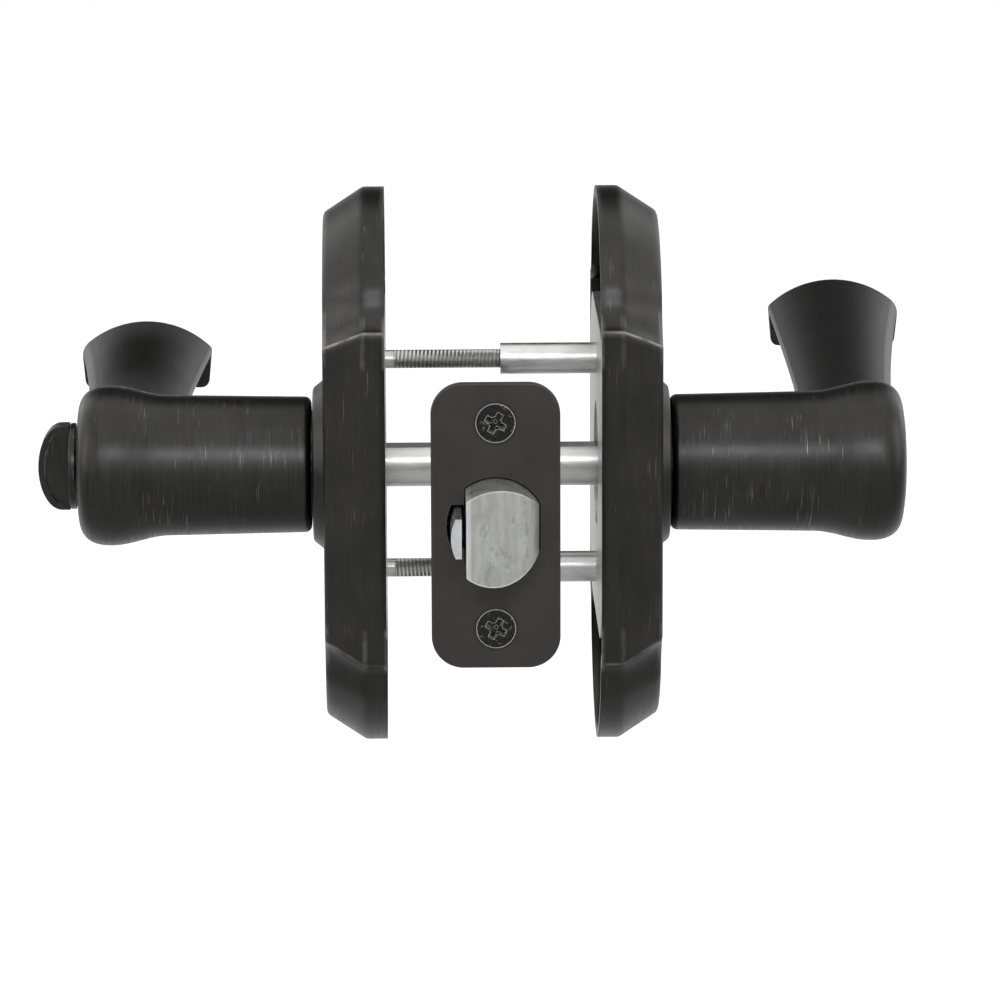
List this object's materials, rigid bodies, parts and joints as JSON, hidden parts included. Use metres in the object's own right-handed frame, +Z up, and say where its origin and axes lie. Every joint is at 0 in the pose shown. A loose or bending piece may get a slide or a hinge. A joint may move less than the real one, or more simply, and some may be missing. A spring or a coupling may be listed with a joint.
{
  "type": "keyed door lever",
  "caption": "Keyed entry door lever for a bored door: levers and coved roses on both faces, turn button inside, key cylinder outside, and a tubular deadlatch.",
  "frame": {"origin": "where the spindle axis crosses the middle of the door's thickness", "axes": "+X along the spindle to the keyed outside, +Y from the door's edge towards the lever tips, +Z up"},
  "size_m": [0.1871, 0.1915, 0.115],
  "materials": {
    "bronze": "oil-rubbed bronze, satin, brushed",
    "bronze_plate": "dark bronze, matte",
    "bronze_screw": "dark bronze, satin",
    "zinc_bolt": "zinc, satin, mottled",
    "bright_steel": "bright, brushed",
    "plated_steel": "zinc plated",
    "spring_steel": "drawn wire",
    "brass": "satin",
    "nylon": "moulded"
  },
  "bodies": {
    "root": {"exterior_rose": "bronze", "exterior_collar": "bronze", "exterior_mounting_plate": "plated_steel", "mounting_posts": "plated_steel", "exterior_spring_cage": "plated_steel", "exterior_return_spring": "spring_steel", "interior_rose": "bronze", "interior_collar": "bronze", "interior_mounting_plate": "plated_steel", "through_bolts": "plated_steel", "interior_spring_cage": "plated_steel", "interior_return_spring": "spring_steel", "latch_faceplate": "bronze_plate", "latch_backplate": "plated_steel", "latch_screws": "bronze_screw", "latch_tube": "plated_steel", "latch_case": "plated_steel", "bolt_spring": "spring_steel", "plunger_spring": "spring_steel"},
    "inside_lever": {"interior_lever": "bronze", "button_bushing": "nylon", "interior_drive_washer": "plated_steel", "interior_retaining_ring": "spring_steel"},
    "outside_lever": {"exterior_lever": "bronze", "cylinder_housing": "bronze", "exterior_drive_washer": "plated_steel", "exterior_retaining_ring": "spring_steel", "lever_spindle": "plated_steel", "cam_hub": "plated_steel"},
    "button": {"turn_button": "bronze", "lock_bar": "plated_steel"},
    "key_cylinder_plug": {"key_plug": "brass", "plug_clip": "spring_steel", "tailpiece": "brass"},
    "bolt": {"latch_bolt": "zinc_bolt", "retractor": "plated_steel"},
    "plunger": {"deadlatch_plunger": "bright_steel"}
  },
  "joints": [
    {"name": "inside_lever_turn", "type": "hinge", "parent": "root", "child": "inside_lever", "pos_m": [0, 0, 0], "axis": [-1, 0, 0], "range_deg": [0, 62], "stiffness_Nm_per_rad": 0.6, "springref_deg": -34.38},
    {"name": "outside_lever_turn", "type": "hinge", "parent": "root", "child": "outside_lever", "pos_m": [0, 0, 0], "axis": [-1, 0, 0], "range_deg": [0, 62], "stiffness_Nm_per_rad": 0.6, "springref_deg": -34.38},
    {"name": "bolt_slide", "type": "slide", "parent": "root", "child": "bolt", "axis": [0, 1, 0], "range_m": [0, 0.012], "stiffness_N_per_m": 300, "springref_m": -0.006, "deforming": ["bolt_spring"]},
    {"name": "plunger_slide", "type": "slide", "parent": "root", "child": "plunger", "axis": [0, 1, 0], "range_m": [0, 0.011], "stiffness_N_per_m": 120, "springref_m": -0.004, "deforming": ["plunger_spring"]},
    {"name": "turn_button_turn", "type": "hinge", "parent": "inside_lever", "child": "button", "pos_m": [-0.0853, 0, 0], "axis": [-1, 0, 0], "range_deg": [0, 90]},
    {"name": "key_plug_turn", "type": "hinge", "parent": "outside_lever", "child": "key_cylinder_plug", "pos_m": [0.0853, 0, 0], "axis": [1, 0, 0], "range_deg": [0, 90]}
  ],
  "couplings": [
    {"joint": "outside_lever_turn", "follows": "inside_lever_turn", "ratio": 1},
    {"joint": "bolt_slide", "follows": "inside_lever_turn", "m_per_rad": 0.011088}
  ]
}
